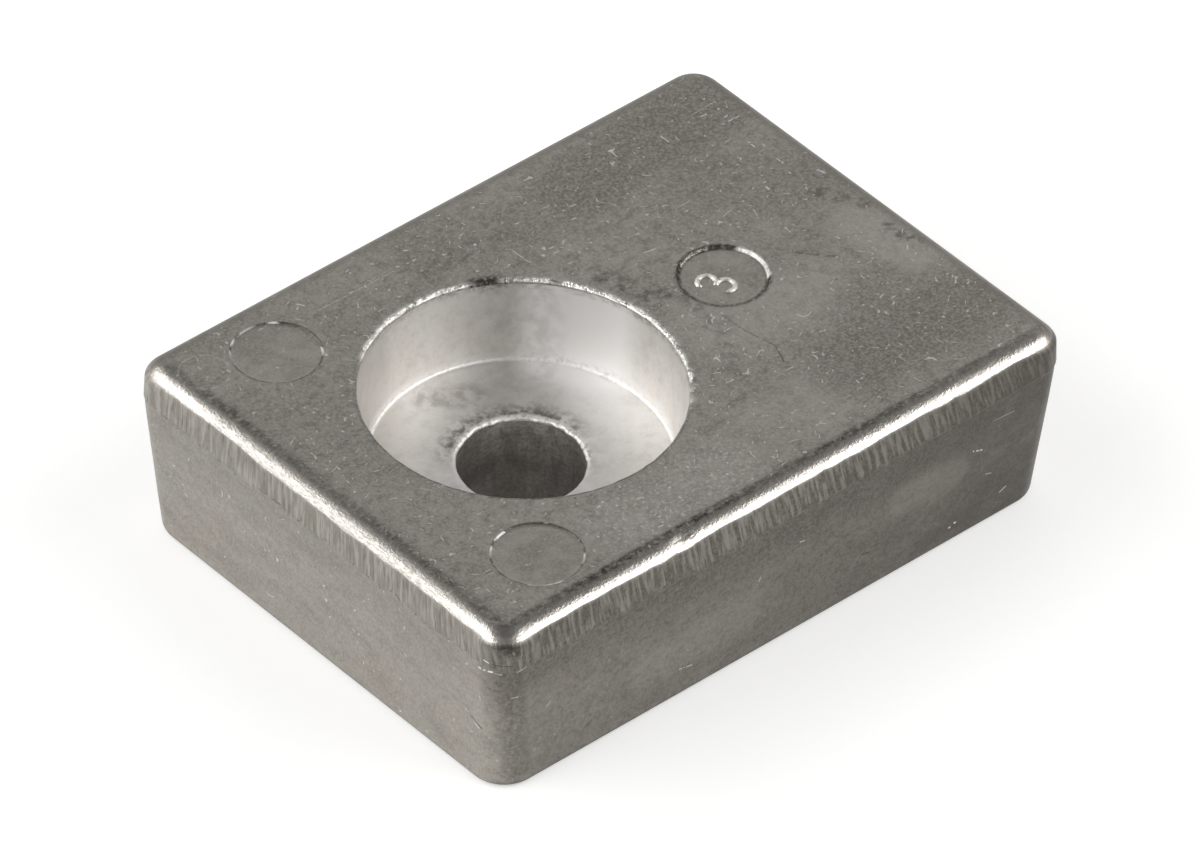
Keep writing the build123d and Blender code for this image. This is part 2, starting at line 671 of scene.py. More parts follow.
        # Soot with painted shade at the start of the near rolled edges, the dark band above their highlight, and soil
        # in the burr's gap; the burr's torn metal gets painted highlight.
        soil_and_shade = near * self.soot_and_shade() * bell(to_roll, 0.42 - 0.22 * self.lines.front())
        soil_and_shade = np.maximum(soil_and_shade, 2.2 * gap * bell(from_rim, 0.35))
        torn_and_glint = held(burr * 1.6) * bell(from_rim, 0.1)
        return Strip(x, y, self.face_height(x, y) + lift, Zone.FACE, grime_and_shade=soil_and_shade, burr=torn_and_glint)

    def rolled_strip(self) -> Strip:
        """Rolled edge, down to where the trimming die cut it off.

        Every row is a rounded rectangle that grows by the radius times the sine of the angle, and drops by the radius
        times one minus its cosine. A knock dented the front edge a little.

        Returns:
            The strip.
        """
        lines, roll = self.lines, self.roll_radius
        start_x, start_y = self.roll_start()
        cut = np.arcsin(self.trimmed_at() / roll)
        angle = np.concatenate([np.linspace(0.0, 0.94, 9)[1:], [0.975, 1.0]])[:, None] * cut
        grown = roll * np.sin(angle)
        x, y = self.outline(self.roll_inset - grown, self.roll_corner + grown)
        bent = angle / cut
        knock = lines.front() * bell(start_x - self.knock_x, 0.7) * eased(held((bent - 0.15) / 0.4))
        z = self.face_height(start_x, start_y) - roll * (1.0 - np.cos(angle)) - self.knock_depth * knock
        near = held(1.0 - lines.away())
        return Strip(
            x,
            y,
            z,
            Zone.FACE,
            # Near edges: polish with painted sheen down the roll and soot with painted shade at its start; far edges:
            # painted shade.
            polish_and_sheen=near * held((bent - 0.12) * 2.4),
            grime_and_shade=near * self.soot_and_shade() * held((0.46 - bent) / 0.2),
            far_edge_shade=held(lines.away()) * held(bent * 2.2),
        )

    def band_strip(self, roll: Strip) -> Strip:
        """Trimmed band, straight from the cut to the parting line, with faint chatter between them.

        The die didn't reach the corners: there the band goes on round the roll's radius up to corner_reach.

        Args:
            roll: The strip that ends in the cut.

        Returns:
            The strip.
        """
        lines, reach = self.lines, self.trimmed_at()
        start_x, start_y = self.roll_start()
        share = np.array([0.03, 0.08, 0.14, 0.2, 0.28, 0.37, 0.5, 0.65, 0.8, 0.9, 0.96, 1.0])[:, None]
        lip = -0.02 + 0.02 * Ripple(14, 1.7).at(start_x, start_y)
        level = between(roll.z[-1], self.height - self.parting_depth, share)
        drop = held((self.face_height(start_x, start_y) - level) / self.roll_radius)
        full = np.minimum(self.roll_radius * np.sin(np.arccos(1.0 - drop)), self.corner_reach)
        grown = between(reach, full, lines.at_corners())
        corner = between(self.roll_corner + grown, self.parting_corner, share)
        x, y = self.outline(between(self.roll_inset - grown, -lip, share), corner)
        chatter = 0.012 * Ripple(15, 0.9).at(start_x, start_y, level * 0.2) * np.sin(math.pi * share)
        x, y = x + chatter * lines.normal_x, y + chatter * lines.normal_y
        return Strip(x, y, level, Zone.SIDE, polish_and_sheen=np.exp(-(share / 0.04)))

    def wall_strip(self) -> Strip:
        """Drafted wall: it leans in from the parting line, behind a tiny ledge there that comes and goes."""
        place = self.roll_start()
        parting = self.height - self.parting_depth
        lowest = parting - self.foot_edge * 0.94
        below = np.concatenate([[0.05, 0.14, 0.28, 0.5], np.linspace(0.9, lowest, 20)])[:, None]
        ledge = (0.035 + 0.035 * Ripple(16, 2.2).at(*place)) * held(below / 0.14) * np.exp(-below / 1.6)
        waves = 0.018 * Ripple(17, 7.5).at(*place, below) + 0.003 * Ripple(18, 2.0).at(*place, below)
        settle = held(below / 1.5) * held((parting - below) / 2.0)
        inset = below * math.tan(math.radians(self.wall_draft)) + ledge + self.wall_setback - waves * settle
        x, y = self.outline(inset, between(self.parting_corner, self.foot_corner, below / parting))
        return Strip(x, y, parting - below + np.zeros_like(x), Zone.SIDE)

    def foot_strip(self) -> Strip:
        """Foot edge: a rounding from the drafted wall to the floor, the radius along an angle up to 90 degrees."""
        radius, lean = self.foot_edge, math.radians(self.wall_draft)
        turn = np.radians(np.linspace(self.wall_draft, 90.0, 8)[1:])[:, None]
        wall = (self.height - self.parting_depth - radius) * math.tan(lean) + self.wall_setback
        inset = wall + radius / math.cos(lean) - radius * np.cos(turn)
        x, y = self.outline(inset, self.foot_corner - radius * (1.0 - np.cos(turn)))
        return Strip(x, y, radius * (1.0 - np.sin(turn)) + np.zeros_like(x), Zone.SIDE)

    def underside_strip(self, edge: Strip) -> Strip:
        """Underside: every line runs straight from the foot edge to the bolt hole, a little hollow between them."""
        share = np.array([0.02, 0.06, 0.15, 0.3, 0.5, 0.7, 0.85, 0.94, 1.0])[:, None]
        end_x, end_y = self.about_bolt(self.bore_radius + self.bore_foot, self.around_bolt())
        x, y = between(edge.x[-1], end_x, share), between(edge.y[-1], end_y, share)
        hollow = (0.025 + 0.02 * Ripple(19, 6.0).at(x, y)) * np.sin(math.pi * share) ** 0.5
        return Strip(x, y, hollow, Zone.FACE)

    # -------- mesh

    def print_surface(self, mark: PinPrint, x: np.ndarray, y: np.ndarray) -> tuple[np.ndarray, np.ndarray]:
        """Height and wear of a print at places in and round it.

        Straight runs between the given distances from its centre sink the floor and raise the witness ring.

        Args:
            mark: The print.
            x: X in millimetres.
            y: Y in millimetres.

        Returns:
            The heights, and the four kinds of wear as rows.
        """
        away = np.hypot(x - mark.place[0], y - mark.place[1]) - mark.radius
        around = np.degrees(np.arctan2(y - mark.place[1], x - mark.place[0]))
        rough = 0.5 + 0.5 * Ripple(mark.seed, 0.7).at(x, y)
        rise = np.interp(away, (-0.02, 0.01, 0.05, 0.1, 0.2, 0.34), (0.0, 0.5, 1.0, 0.9, 0.3, 0.0))
        sink = np.interp(away, (-0.22, -0.15, -0.01, 0.03), (1.0, 0.95, 0.06, 0.0))
        figure = self.figure.height(x, y) if mark.numbered else np.zeros_like(x)
        z = self.face_height(x, y) + mark.lip * rise * rough - mark.depth * sink + figure
        half = np.ptp(mark.torn) / 2
        within = held((half - np.abs(around - np.mean(mark.torn))) / 6.0)
        dashes = held((rough - 0.72) / 0.08) * held(0.6 + np.cos(np.radians(around - FACING_VIEWER)))
        ring = np.interp(away, mark.line * np.array([-0.9, -0.5, 0.5, 0.9]) - 0.04, (0.0, 1.0, 1.0, 0.0))
        # Torn ring metal with painted highlight, in dashes where it faces the viewer.
        torn_and_glint = ring * held(within * (0.35 + rough) + dashes)
        soil_and_shade = np.interp(away, mark.line * np.array([-1.2, -0.6, 0.0, 0.5, 1.1]) - 0.03, (0.0, 0.8, 1.0, 0.8, 0.0))
        soil_and_shade = soil_and_shade * (0.55 + 3.0 * (mark.line - 0.1) + 0.6 * rough) * (1.0 - torn_and_glint)
        none = np.zeros_like(x)
        # The raised number's strokes carry painted highlight, as torn metal.
        return z, np.column_stack([none, soil_and_shade, none, np.maximum(torn_and_glint, figure / self.figure.relief)])

    def print_patch(
        self, mark: PinPrint, x: np.ndarray, y: np.ndarray, rows: tuple[int, int], offset: int
    ) -> Patch:
        """Round patch that takes the place of a window in the top face's grid.

        The window's edge is blended into a circle by three rings, and from there rings of falling radius lead to the
        middle. Each ring keeps the angles at which the window's edge points are seen from the print's centre.

        Args:
            mark: The print.
            x: X of the whole grid.
            y: Y of the whole grid.
            rows: First and last row of the top face in the grid.
            offset: Number of the patch's first new point.

        Returns:
            The patch.
        """
        columns, (first, last), (centre_x, centre_y) = x.shape[1], rows, mark.place
        reach = mark.radius + 0.42
        near = np.argwhere(np.hypot(x[first:last] - centre_x, y[first:last] - centre_y) < reach)
        # Columns are counted from the far side's first line, so the far print's window doesn't wrap.
        top, left = near.min(axis=0) + (first - 1, -1)
        bottom, right = near.max(axis=0) + (first + 1, 1)
        loop = np.concatenate(
            [
                top * columns + np.arange(left, right),
                np.arange(top, bottom) * columns + right,
                bottom * columns + np.arange(right, left, -1),
                np.arange(bottom, top, -1) * columns + left,
            ]
        )
        edge_x, edge_y = x.ravel()[loop], y.ravel()[loop]
        angle = np.arctan2(edge_y - centre_y, edge_x - centre_x)
        step = np.array([0.34, 0.24, 0.17, 0.13, 0.1, 0.07, 0.04, 0.01, -0.02, -0.05, -0.09, -0.15])
        inner = np.linspace(mark.radius + step[-1], 0.0, mark.rings + 1)[1:-1]
        ring = np.concatenate([mark.radius + step, inner])[:, None]
        circle_x, circle_y = centre_x + ring * np.cos(angle), centre_y + ring * np.sin(angle)
        blend = np.array([0.25, 0.5, 0.75])[:, None]
        rings_x = np.vstack([between(edge_x, circle_x[0], blend), circle_x])
        rings_y = np.vstack([between(edge_y, circle_y[0], blend), circle_y])
        new_x, new_y = np.append(rings_x.ravel(), centre_x), np.append(rings_y.ravel(), centre_y)
        new_z, wear = self.print_surface(mark, new_x, new_y)
        index = np.vstack([loop, offset + np.arange(rings_x.size).reshape(rings_x.shape)])
        after = np.roll(index, -1, axis=1)
        inside = np.concatenate([np.full(blend.size, np.inf), ring.ravel()]) < mark.radius + 0.02
        return Patch(
            window=(slice(top, bottom), slice(left, right)),
            points=np.column_stack([new_x, new_y, new_z]),
            wear=wear,
            quads=np.stack([index[1:], after[1:], after[:-1], index[:-1]], axis=-1).reshape(-1, 4),
            fan=np.stack([np.full(loop.size, offset + rings_x.size), after[-1], index[-1]], axis=-1),
            zones=np.repeat(np.where(inside, Zone.PRINT, Zone.FACE), loop.size),
        )

    def skin_map(self, z: np.ndarray, keep: np.ndarray) -> np.ndarray:
        """Map of the grid that gives the distance round the outline and the height.

        Args:
            z: Height of the whole grid.
            keep: Which of the grid's faces there are.

        Returns:
            The two values at every corner of those faces.
        """
        trip = self.trip_length()
        travelled = np.stack([trip[:-1], trip[:-1], trip[1:], trip[1:]], axis=-1)
        travelled = np.broadcast_to(travelled, (*z.shape, 4))
        return np.stack([travelled[keep], face_corners(z)[keep]], axis=-1).reshape(-1, 2)

    def build(self) -> bpy.types.Object:
        """Makes the casting's one mesh.

        The strips' rows are stacked into one grid that closes on itself both ways, three windows in the top face
        give way to the round prints, and unused points are dropped.

        Returns:
            The object, with smooth faces and its zones as material numbers.
        """
        turned = self.turned_strips()
        top = self.top_strip(turned[-1])
        roll = self.rolled_strip()
        edges = [roll, self.band_strip(roll), self.wall_strip(), self.foot_strip()]
        strips = [*turned, top, *edges, self.underside_strip(edges[-1])]
        x, y, z = (np.vstack([getattr(strip, axis) for strip in strips]) for axis in "xyz")
        zones = np.roll(np.concatenate([np.full(len(strip.x), int(strip.zone)) for strip in strips]), -1)
        zones = np.repeat(zones[:, None], x.shape[1], axis=1)
        first = sum(len(strip.x) for strip in turned)
        points = [np.column_stack([x.ravel(), y.ravel(), z.ravel()])]
        keep = np.ones(x.shape, dtype=bool)
        patches: list[Patch] = []
        for mark in self.prints:
            patch = self.print_patch(mark, x, y, (first, first + len(top.x) - 1), sum(map(len, points)))
            keep[patch.window] = False
            points.append(patch.points)
            patches.append(patch)
        places = np.vstack(points)
        places[:, 2] = np.minimum(places[:, 2], self.height)
        grid_quads = face_corners(np.arange(x.size).reshape(x.shape))[keep]
        quads = np.vstack([grid_quads, *(patch.quads for patch in patches)])
        fan = np.vstack([patch.fan for patch in patches])
        used = np.unique(np.concatenate([quads.ravel(), fan.ravel()]))
        renumber = np.zeros(len(places), dtype=int)
        renumber[used] = np.arange(used.size)
        piece = add_piece("anode_casting", places[used] * MM, renumber[quads].tolist() + renumber[fan].tolist())
        mesh = piece.data
        face_zones = [zones[keep], *(patch.zones for patch in patches), np.full(len(fan), int(Zone.PRINT))]
        mesh.polygons.foreach_set("material_index", np.concatenate(face_zones).astype(np.int32))
        mesh.shade_smooth()
        # On the prints the map is simply X and Y.
        patch_map = places[np.concatenate([quads[len(grid_quads) :].ravel(), fan.ravel()])][:, :2]
        sheet = mesh.uv_layers.new(name=SKIN_MAP)
        sheet.uv.foreach_set("vector", np.vstack([self.skin_map(z, keep), patch_map]).astype(np.float32).ravel())
        wear = np.vstack([*(strip.wear() for strip in strips), *(patch.wear for patch in patches)])
        for kind, values in zip(WEAR, wear[used].T.astype(np.float32)):
            mesh.attributes.new(kind, "FLOAT", "POINT").data.foreach_set("value", np.ascontiguousarray(values))
        mesh.update(calc_edges=True)
        return piece

    def dress(self, piece: bpy.types.Object) -> None:
        """Gives the casting its five finishes, in the order of the zones."""
        for finish in FINISHES:
            piece.data.materials.append(finish.material())


# ---------------------------------------------------------------- finishes


class Skin:
    """The metal's surface while its patterns are laid on: a colour, a roughness and a height in micrometres."""

    def __init__(self, name: str, colour: str, roughness: float) -> None:
        """Starts a material with one colour and roughness.

        Args:
            name: Name of the material.
            colour: Colour of the clean metal.
            roughness: Roughness of the clean metal.
        """
        self.material = bpy.data.materials.new(name)
        self.tree = new_tree(self.material)
        spot = self.put("TexCoord", out="Object")
        self.place = self.put("VectorMath", {0: spot, "Scale": 1.0 / MM}, operation="SCALE")
        self.down = self.put("UVMap", uv_map=SKIN_MAP)
        self.colour: Any = linear_colour(colour)
        self.roughness: Any = roughness
        self.height: Any = 0.0

    def put(self, kind: str, inputs: dict[Any, Any] | None = None, out: int | str = 0, **settings: Any) -> Socket:
        """Adds a node and gives one of its outputs, the first unless another is named."""
        return add_node(self.tree, kind, inputs, **settings).outputs[out]

    def carried(self, kind: str) -> Socket:
        """A kind of wear that the mesh carries, from 0 to 1."""
        return self.put("Attribute", out="Fac", attribute_name=kind)

    def patches(
        self, size: Any, low: float, high: float, detail: float = 3.0, place: Any = None, tilt: float = 0.0
    ) -> Socket:
        """Cloudy patches: noise between two levels, spread to 0 and 1.

        Args:
            size: Size of a patch in millimetres, one number or three.
            low: Noise level that gives 0.
            high: Noise level that gives 1.
            detail: Octaves of finer noise.
            place: Coordinates to read, the object's own unless given.
            tilt: Turn of the pattern about Z in degrees.

        Returns:
            The mask.
        """
        sizes = (size,) * 3 if isinstance(size, (int, float)) else size
        spot = place or self.place
        if tilt:
            spot = self.put("VectorRotate", {"Vector": spot, "Angle": math.radians(tilt)}, rotation_type="Z_AXIS")
        spread = self.put("VectorMath", {0: spot, 1: tuple(1.0 / v for v in sizes)}, operation="MULTIPLY")
        noise = self.put("TexNoise", {"Vector": spread, "Scale": 1.0, "Detail": detail, "Roughness": 0.6})
        limits = {"Value": noise, "From Min": low, "From Max": high}
        return self.put("MapRange", limits, interpolation_type="SMOOTHSTEP")

    def specks(self, spacing: float, radius: float, share: float) -> Socket:
        """Small round specks, one at most in each cell of a random lattice.

        Args:
            spacing: Size of a cell in millimetres.
            radius: Radius of a speck in millimetres.
            share: Part of the cells that have one.

        Returns:
            The mask, 1 in the middle of a speck.
        """
        cells = add_node(self.tree, "TexVoronoi", {"Vector": self.place, "Scale": 1.0 / spacing}).outputs
        limits = {"Value": cells["Distance"], "From Min": radius / spacing, "From Max": 0.55 * radius / spacing}
        chosen = self.put("Math", {0: cells["Color"], 1: share}, operation="LESS_THAN")
        return self.both(self.put("MapRange", limits), chosen)

    def threads(self, size: float, width: float) -> Socket:
        """Winding scratches: thin lines where a cloudy noise crosses its middle.

        Args:
            size: Size of the noise's clouds in millimetres.
            width: Half the width of a line, as a noise level.

        Returns:
            The mask.
        """
        spread = self.put("VectorMath", {0: self.place, "Scale": 1.0 / size}, operation="SCALE")
        noise = self.put("TexNoise", {"Vector": spread, "Scale": 1.0, "Detail": 0.0})
        return self.close_to(noise, 0.5, width, width / 3)

    def close_to(self, value: Socket, level: float, limit: float, full: float) -> Socket:
        """Where a value is close to a level: 0 from one limit away, 1 within another.

        Args:
            value: The value.
            level: The level.
            limit: Distance from the level at which the mask ends.
            full: Distance within which it is 1.

        Returns:
            The mask.
        """
        off = self.put("Math", {0: value, 1: level}, operation="SUBTRACT")
        away = self.put("Math", {0: off}, operation="ABSOLUTE")
        return self.put("MapRange", {"Value": away, "From Min": limit, "From Max": full})

    def from_point(self, point: tuple[float, float], where: Socket | None = None) -> Socket:
        """The first two coordinates, counted from a point."""
        inputs = {0: where or self.place, 1: (1.0, 1.0, 0.0), 2: (-point[0], -point[1], 0.0)}
        return self.put("VectorMath", inputs, operation="MULTIPLY_ADD")

    def line(
        self,
        start: tuple[float, float],
        end: tuple[float, float],
        width: float,
        level: float = 1.0,
        where: Socket | None = None,
    ) -> Socket:
        """One mark along a straight piece, or a soft round patch where the piece is short.

        The mask falls with the distance to the line piece, from a sixth of its width to half of it.

        Args:
            start: Where it starts, the first two coordinates in millimetres.
            end: Where it ends.
            width: Its width.
            level: How clearly it shows, from 0 to 1.
            where: Coordinates to read, the object's own unless given.

        Returns:
            The mask.
        """
        run = (end[0] - start[0], end[1] - start[1])
        length = run[0] ** 2 + run[1] ** 2
        flat = self.from_point(start, where)
        share = {0: flat, 1: (run[0] / length, run[1] / length, 0.0)}
        along = self.put("VectorMath", share, "Value", operation="DOT_PRODUCT")
        along = self.put("Math", {0: along, 1: 0.0}, operation="ADD", use_clamp=True)
        nearest = self.put("VectorMath", {0: (*run, 0.0), "Scale": along}, operation="SCALE")
        away = self.put("VectorMath", {0: flat, 1: nearest}, "Value", operation="DISTANCE")
        limits = {"Value": away, "From Min": width / 2, "From Max": width / 6, "To Max": level}
        return self.put("MapRange", limits, interpolation_type="SMOOTHSTEP")

    def marks(self, marks: tuple[Mark, ...], where: Socket | None = None) -> Socket:
        """Several marks as one mask: the clearest of them at each place.

        Args:
            marks: The marks.
            where: Coordinates to read, the object's own unless given.

        Returns:
            The mask.
        """
        clearest, *rest = (self.line(mark[:2], mark[2:4], *mark[4:], where=where) for mark in marks)
        for mask in rest:
            clearest = self.put("Math", {0: clearest, 1: mask}, operation="MAXIMUM")
        return clearest

    def ring(self, centre: tuple[float, float], radius: float, width: float) -> Socket:
        """One round mark on the top face: it falls with the distance to a circle.

        Args:
            centre: Its middle, X and Y in millimetres.
            radius: Its radius.
            width: Width of its line.

        Returns:
            The mask.
        """
        reach = self.put("VectorMath", {0: self.from_point(centre)}, "Value", operation="LENGTH")
        return self.close_to(reach, radius, width / 2, width / 6)

    def both(self, *masks: Socket) -> Socket:
        """Where all the masks overlap: their product."""
        product, *rest = masks
        for mask in rest:
            product = self.put("Math", {0: product, 1: mask}, operation="MULTIPLY")
        return product

    def lay(
        self, mask: Socket, colour: str = "", share: float = 1.0, roughness: float = 0.0, height: float = 0.0
    ) -> None:
        """Lays a pattern on the surface.

        Args:
            mask: Where it lies, from 0 to 1.
            colour: Colour that it brings, none if empty.
            share: How much of that colour shows.
            roughness: Roughness that it adds.
            height: Height that it adds, in micrometres.
        """
        if colour:
            shown = self.put("Math", {0: mask, 1: share}, operation="MULTIPLY")
            inputs = {0: shown, 6: self.colour, 7: linear_colour(colour)}
            self.colour = self.put("Mix", inputs, 2, data_type="RGBA")
        if roughness:
            inputs = {0: mask, 1: roughness, 2: self.roughness}
            self.roughness = self.put("Math", inputs, operation="MULTIPLY_ADD")
        if height:
            self.height = self.put("Math", {0: mask, 1: height, 2: self.height}, operation="MULTIPLY_ADD")

    def close(self) -> bpy.types.Material:
        """Joins colour, roughness and height into the metal's shader, and gives the material."""
        bump = self.put("Bump", {"Height": self.height, "Distance": 1e-6, "Strength": 1.0})
        inputs = {"Base Color": self.colour, "Roughness": self.roughness, "Normal": bump, "Metallic": 1.0}
        add_node(self.tree, "OutputMaterial", {"Surface": self.put("BsdfPrincipled", inputs)})
        return self.material


@dataclass(frozen=True)
class CastShades:
    """Colours that the cast top face and the prints in it share."""

    stain: str = "#87837B"
    pale: str = "#CFCBC4"
    bright: str = "#EDEBE6"
    soot_and_shade: str = "#4A4641"


@dataclass(frozen=True)
class AsCastZinc(CastShades):
    """Zinc alloy as the die leaves it: grey and mottled, with fine grain, bright nicks and handling scratches."""

    name: str = "as_cast_zinc"
    clean: str = "#AEAAA2"

    # Placed marks, by X and Y on the top face.
    scratches: tuple[Mark, ...] = (
        (-11.8, 14.1, -5.5, 14.0, 0.1, 0.6), (19.66, 13.63, 22.18, 13.73, 0.09, 0.6),
        (19.9, 13.15, 20.83, 13.04, 0.13, 1.0), (16.68, 13.28, 16.69, 12.53, 0.14, 1.0),
        (20.67, 9.2, 20.63, 8.6, 0.16, 1.0), (20.94, 6.76, 20.97, 6.22, 0.16, 1.0),
        (13.04, 7.17, 13.75, 7.17, 0.1, 0.7), (16.76, 1.79, 16.7, 0.74, 0.12, 0.9),
        (18.51, 5.08, 18.49, 4.8, 0.2, 1.0), (8.03, 5.15, 8.95, 4.97, 0.12, 0.9),
        (12.31, 9.49, 12.64, 8.87, 0.09, 0.7), (10.89, 11.39, 10.8, 10.74, 0.09, 0.6),
        (16.79, -13.22, 16.89, -14.03, 0.1, 0.7), (13.81, -12.93, 13.82, -13.65, 0.1, 0.7),
        (16.38, 3.94, 16.03, 3.0, 0.1, 0.8), (-16.9, 11.95, -16.15, 11.56, 0.14, 1.0),
    )
    cracks: tuple[Mark, ...] = (
        (7.83, -2.7, 7.93, -4.8, 0.1, 0.55), (7.93, -4.8, 8.44, -7.15, 0.11, 0.6),
        (8.44, -7.15, 7.8, -8.66, 0.14, 0.6), (8.44, -7.15, 9.5, -7.3, 0.12, 0.3),
        (15.6, -1.1, 17.2, -2.9, 0.3, 0.45),
    )
    smudges: tuple[Mark, ...] = (
        (4.5, 5.4, 5.4, 1.4, 2.2, 1.0), (5.2, 2.0, 7.8, 0.4, 1.6, 0.9), (7.3, -0.3, 6.4, -3.0, 1.5, 0.7),
        (22.0, -3.0, 22.2, -5.2, 1.6, 1.0), (20.6, 2.8, 22.2, -0.1, 1.6, 0.8), (7.6, -3.2, 3.0, -9.8, 2.0, 0.5),
        (-4.0, 12.6, 3.0, 12.4, 1.8, 0.5),
    )
    clouds: tuple[Mark, ...] = (
        (-12.0, -14.0, 7.0, -13.4, 6.0, 0.2), (7.0, -3.0, 13.0, -4.5, 9.0, 0.3), (20.5, -1.0, 21.0, -6.0, 5.0, 0.4),
        (3.5, -12.0, 9.0, -12.2, 6.0, 0.25),
    )
    shades: tuple[Mark, ...] = (
        (9.0, 13.0, 21.0, 13.5, 9.0, 0.75), (11.0, -11.5, 21.0, -11.5, 9.0, 0.75), (15.0, 8.0, 21.0, 5.0, 9.0, 0.4),
        (14.5, -8.0, 18.0, -7.2, 6.5, 0.45), (-3.0, 13.5, 5.0, 12.5, 7.0, 0.35),
    )

    def material(self) -> bpy.types.Material:
        """Builds the material."""
        skin = Skin(self.name, self.clean, 0.36)
        skin.lay(skin.patches(5.0, 0.38, 0.64, 2.0), self.stain, 0.3, 0.03)
        skin.lay(skin.patches(0.9, 0.4, 0.68, 4.0), self.stain, 0.65, 0.04)
        skin.lay(skin.marks(self.clouds), self.pale)
        skin.lay(skin.marks(self.shades), self.stain)
        # Grain of 0.1 mm, drawn twice as coarse as the die's own so that it shows.
        skin.lay(skin.patches(0.2, 0.3, 0.75, 1.0), self.pale, 0.45, 0.0, 6.0)
        skin.lay(skin.both(skin.marks(self.smudges), skin.patches(0.75, 0.42, 0.62, 4.0)), self.soot_and_shade, 0.55, 0.04)
        # Nicks: bright, up to a millimetre long, more in some places than in others.
        busy = skin.patches(3.2, 0.42, 0.58, 1.0)
        short = skin.both(skin.patches(0.5, 0.58, 0.64, 0.0), busy)
        skin.lay(skin.both(skin.threads(1.9, 0.014), short), self.bright, 0.9, 0.05)
        short = skin.patches(0.45, 0.66, 0.7, 0.0)
        skin.lay(skin.both(skin.threads(1.1, 0.024), short), self.bright, 0.8, 0.05)
        skin.lay(skin.both(skin.specks(0.6, 0.1, 0.4), busy), self.bright, 0.8)
        peppered = skin.line((-10.5, -13.4), (-2.0, -13.8), 7.5)
        skin.lay(skin.both(skin.patches(0.3, 0.48, 0.68, 3.0), peppered), self.bright, 0.4, 0.05)
        skin.lay(skin.both(skin.specks(0.7, 0.12, 0.48), peppered), self.bright, 0.9)
        skin.lay(skin.specks(1.3, 0.12, 0.4), self.soot_and_shade, 0.4, 0.05)
        broken = skin.patches(0.35, 0.3, 0.48, 1.0)
        skin.lay(skin.both(skin.marks(self.scratches), broken), self.bright, 0.95, 0.1)
        skin.lay(skin.both(skin.marks(self.cracks), broken), self.soot_and_shade, 0.9, 0.1)
        skin.lay(skin.both(skin.ring((-21.2, 14.1), 1.65, 0.2), broken), self.bright, 0.3)
        # Soot and painted shade: the dark band above the near edges' highlight, the near side of the rim, and soil in
        # the burr's gap.
        soiled = skin.both(skin.carried("grime_and_shade"), skin.patches((0.35, 0.25, 0.6), 0.22, 0.68, 3.0))
        skin.lay(soiled, self.soot_and_shade, 0.8, 0.06)
        # Painted shade on the far rolled edges: darker and rougher.
        skin.lay(skin.carried("far_edge_shade"), "#7B776F", 0.8, 0.1)
        self.polish_edge(skin)
        # The rim's burr: torn metal with painted highlight laid on it in near-white.
        torn = skin.carried("burr")
        skin.lay(skin.both(torn, skin.patches(0.4, 0.34, 0.52, 3.0)), "#F6F4F0", 0.95, 0.06)
        # Torn metal: facets a quarter of a millimetre across that sparkle.
        skin.lay(skin.both(torn, skin.patches(0.26, 0.32, 0.68, 2.0)), height=45.0)
        return skin.close()

    def polish_edge(self, skin: Skin) -> None:
        """Lays the shine of the rolled edge, partly as painted sheen in a lighter colour: brightest in front, scuffed
        along the middle of the left side.
        """
        drag = "#8F8B84"
        polished_sheen = skin.carried("polish_and_sheen")
        # Painted sheen: the polished near edges get a lighter colour.
        skin.lay(polished_sheen, "#BFBAB6", 0.4, -0.08)
        skin.lay(skin.both(polished_sheen, skin.line((-20.0, -17.2), (21.0, -17.2), 4.0)), roughness=-0.05)
        # Drag lines of the roll along the edge, drawn 0.1 mm wide.
        drags = skin.both(polished_sheen, skin.patches((0.8, 0.12, 1.0), 0.45, 0.75, 1.0, skin.down))
        skin.lay(drags, drag, 0.4, 0.06, -3.0)
        scuffed = skin.both(polished_sheen, skin.line((-23.0, -11.0), (-23.0, 9.0), 8.0))
        skin.lay(scuffed, "#A8A39E", 0.35, 0.06)
        skin.lay(skin.both(scuffed, skin.patches((0.5, 0.1, 1.0), 0.45, 0.65, 2.0, skin.down)), drag, 0.6, 0.06, -4.0)


